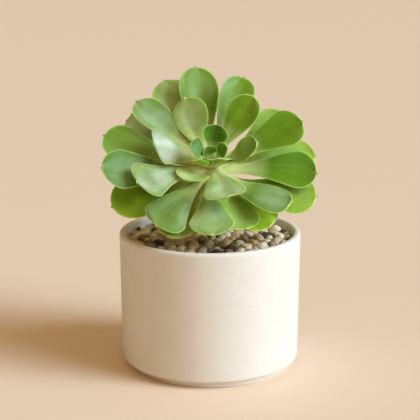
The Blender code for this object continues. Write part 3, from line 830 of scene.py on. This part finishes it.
def midrib(own):
    """The leaf's middle line: a function from a share of the length to its point and the leaf's own ways."""
    axis, right, back = crown_axes()
    outward = math.cos(own["azimuth"]) * right + math.sin(own["azimuth"]) * back
    across = -math.sin(own["azimuth"]) * right + math.cos(own["azimuth"]) * back

    def ways(s):
        angle = own["rise"] + own["bend"] * s**BEND_POWER
        straight = math.cos(angle) * axis + math.sin(angle) * outward
        upper = math.sin(angle) * axis - math.cos(angle) * outward
        sway = own["sway"] * s
        along = math.cos(sway) * straight + math.sin(sway) * across
        return along, math.cos(sway) * across - math.sin(sway) * straight, upper

    points = [CROWN - axis * own["drop"] + outward * LEAF_ROOT]
    for k in range(MIDRIB_STEPS):
        points.append(points[-1] + ways(k / MIDRIB_STEPS)[0] * own["length"] / MIDRIB_STEPS)

    def place(s):
        k = min(int(s * MIDRIB_STEPS), MIDRIB_STEPS - 1)
        point = points[k].lerp(points[k + 1], s * MIDRIB_STEPS - k)
        along, sideways, upper = ways(s)
        twist = own["twist"] * s
        width_way = math.cos(twist) * sideways + math.sin(twist) * upper
        normal = math.cos(twist) * upper - math.sin(twist) * sideways
        return point, along, width_way, normal

    return place


def small_forms(birth, small):
    """What sets the surface of a leaf apart: a function that lifts its blade in waves, ridges, hollows and a
    channel, and the sizes of the teeth on each side."""
    rng = random.Random(LEAF_SEED + birth)
    wave_height = rng.uniform(*WAVE_HEIGHTS) * MM
    wave_starts = {1: rng.uniform(0, 1), -1: rng.uniform(0, 1)}
    teeth = {(side, k): rng.uniform(*TOOTH_SIZES) for side in (1, -1) for k in range(TEETH_A_SIDE)}

    def small_lift(s, v, side, on_top):
        wave = math.sin(2 * math.pi * (WAVES * s + wave_starts[side]))
        lift = wave_height * abs(v) ** WAVE_POWER * wave
        lift += RIDGE_HEIGHT * small * math.cos(RIDGE_TURNS * v) * (1 - v * v)
        hollow = noise.noise(Vector((HOLLOW_DETAIL[0] * v, HOLLOW_DETAIL[1] * s, birth)))
        lift += HOLLOW_HEIGHT * small * hollow * (1 - HOLLOW_FADE * v * v)
        if on_top:
            channel = math.exp(-((v / CHANNEL_WIDTH) ** 2)) * (1 - smooth_step(s, *CHANNEL_END))
            lift -= CHANNEL_DEPTH * small * channel
        return smooth_step(s, *BLADE_START) * lift

    return small_lift, teeth


def leaf(row, material):
    """A fleshy leaf: a grid wrapped round the leaf's own section, which closes at its foot and its tip."""
    birth = row[0]
    own = leaf_from_rule(row)
    place = midrib(own)
    small = min(own["length"] / FULL_LENGTH, 1)
    small_lift, teeth = small_forms(birth, small)
    bm = bmesh.new()
    layer = {name: bm.verts.layers.float.new(name) for name in LEAF_LAYERS}
    bmesh.ops.create_grid(bm, x_segments=LEAF_ROUND, y_segments=LEAF_ROWS + 1, size=1)
    for vert in bm.verts:
        turn = math.pi * (vert.co.x + 1)
        mesh_row = round((vert.co.y + 1) / 2 * (LEAF_ROWS + 1)) - 1
        s, width, cap = leaf_station(own, mesh_row)
        v, up = math.cos(turn), math.sin(turn)
        if mesh_row < 0:
            width, up = 0, 0
        side = 1 if v > 0 else -1
        point, along, width_way, normal = place(s)
        half_width = own["half_width"] * width
        middle = LEAF_HALF_MIDDLE * (1 - LEAF_THINNING * s)
        half_thick = (LEAF_HALF_EDGE + (middle - LEAF_HALF_EDGE) * (1 - v * v)) * small**0.5
        thick = half_thick * math.copysign(abs(up) ** SECTION_POWER, up)
        # The round end thins out to the margin as the sides do
        thick *= 1 - END_THINNING * smooth_step(cap, THINNING_START, 1)
        lift = half_width * (own["edge_turn"] * v * v - own["fold"] * (1 - math.hypot(v, FOLD_ROUNDING)))
        lift += small_lift(s, v, side, up > 0)
        point += width_way * (half_width * v) + normal * (lift + thick)
        point += along * (half_width * own["skew"] * v * s * s)
        # Fine forward teeth along the margin of the blade
        tooth_step = (mesh_row % TOOTH_ROWS) / (TOOTH_ROWS - 1)
        tooth = TOOTH_HEIGHT * small * tooth_step * teeth[side, max(mesh_row, 0) // TOOTH_ROWS]
        tooth *= smooth_step(s, *TOOTH_START) * (1 - smooth_step(cap, TOOTH_END, 1)) * abs(v) ** TOOTH_POWER
        bearing = math.pi / 2 * cap
        point += tooth * (math.cos(bearing) * side * width_way + math.sin(bearing) * along)
        # The small point at the tip
        reach = max(1 - abs(half_width * v) / (POINT_WIDTH * small), 0) * smooth_step(cap, POINT_START, 1)
        point += along * LEAF_POINT * small * reach**POINT_POWER
        vert.co = point
        past = math.sin(math.pi / 2 * cap) ** 2
        inset = own["half_width"] * (width if cap == 0 else 1) * (1 - math.sqrt(v * v * (1 - past) + past))
        looks = {
            "along": s,
            "across": v * (1 if cap == 0 else max(width, 0.2)),
            "margin": inset / MM,
            "upper": up,
            "bloom_and_painted_sheen": own["bloom_and_painted_sheen"],
            "tone": own["tone"],
            "seed": birth + FIRST_SEED,
            "dry": reach if birth >= OLD_LEAF else 0,
        }
        for name, value in looks.items():
            vert[layer[name]] = value
    weld(bm)
    name = f"leaf_{birth:02d}" if birth >= 0 else f"bud_leaf_{-birth}"
    new_piece(bm, name, material, "succulent_leaf", "rosette")


# Setting


def floor():
    bm = bmesh.new()
    bmesh.ops.create_grid(bm, x_segments=1, y_segments=1, size=FLOOR_HALF)
    obj = linked_object(bm, "tabletop", plain_floor())


def lights():
    """A wide window with cool daylight to the right, brighter in its lower part, a pale ceiling, and a dim
    warm room all round."""
    for name, azimuth, height, angle, energy, colour in SUNS:
        sun = bpy.data.lights.new(name, "SUN")
        sun.energy = energy
        sun.angle = math.radians(angle)
        sun.color = colour
        obj = bpy.data.objects.new(name, sun)
        turn, lift = math.radians(azimuth), math.radians(height)
        towards = Vector((math.sin(turn) * math.cos(lift), -math.cos(turn) * math.cos(lift), math.sin(lift)))
        obj.rotation_euler = towards.to_track_quat("Z", "Y").to_euler()
        bpy.context.scene.collection.objects.link(obj)
    world = bpy.data.worlds.new("room")
    world.use_nodes = True
    background = world.node_tree.nodes["Background"]
    feed(world.node_tree, background, {"Color": linear(ROOM_COLOUR), "Strength": ROOM_STRENGTH})
    bpy.context.scene.world = world


def camera():
    data = bpy.data.cameras.new("camera")
    data.lens = CAMERA_LENS
    data.sensor_width = SENSOR_WIDTH
    data.clip_start = NEAREST
    data.clip_end = FARTHEST
    obj = bpy.data.objects.new("camera", data)
    obj.location = CAMERA_PLACE
    obj.rotation_euler = (math.radians(90 - CAMERA_PITCH), 0, 0)
    bpy.context.scene.collection.objects.link(obj)
    bpy.context.scene.camera = obj


camera()
lights()
floor()
bpy.context.scene.view_settings.view_transform = "Standard"

pot()
gravel()
grit_bed()
stem()
leaf_material = waxy_leaf()
crown_core(leaf_material)
for leaf_row in LEAVES:
    leaf(leaf_row, leaf_material)

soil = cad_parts["soil"]
soil.data.materials.clear()
soil.data.materials.append(potting_mix())
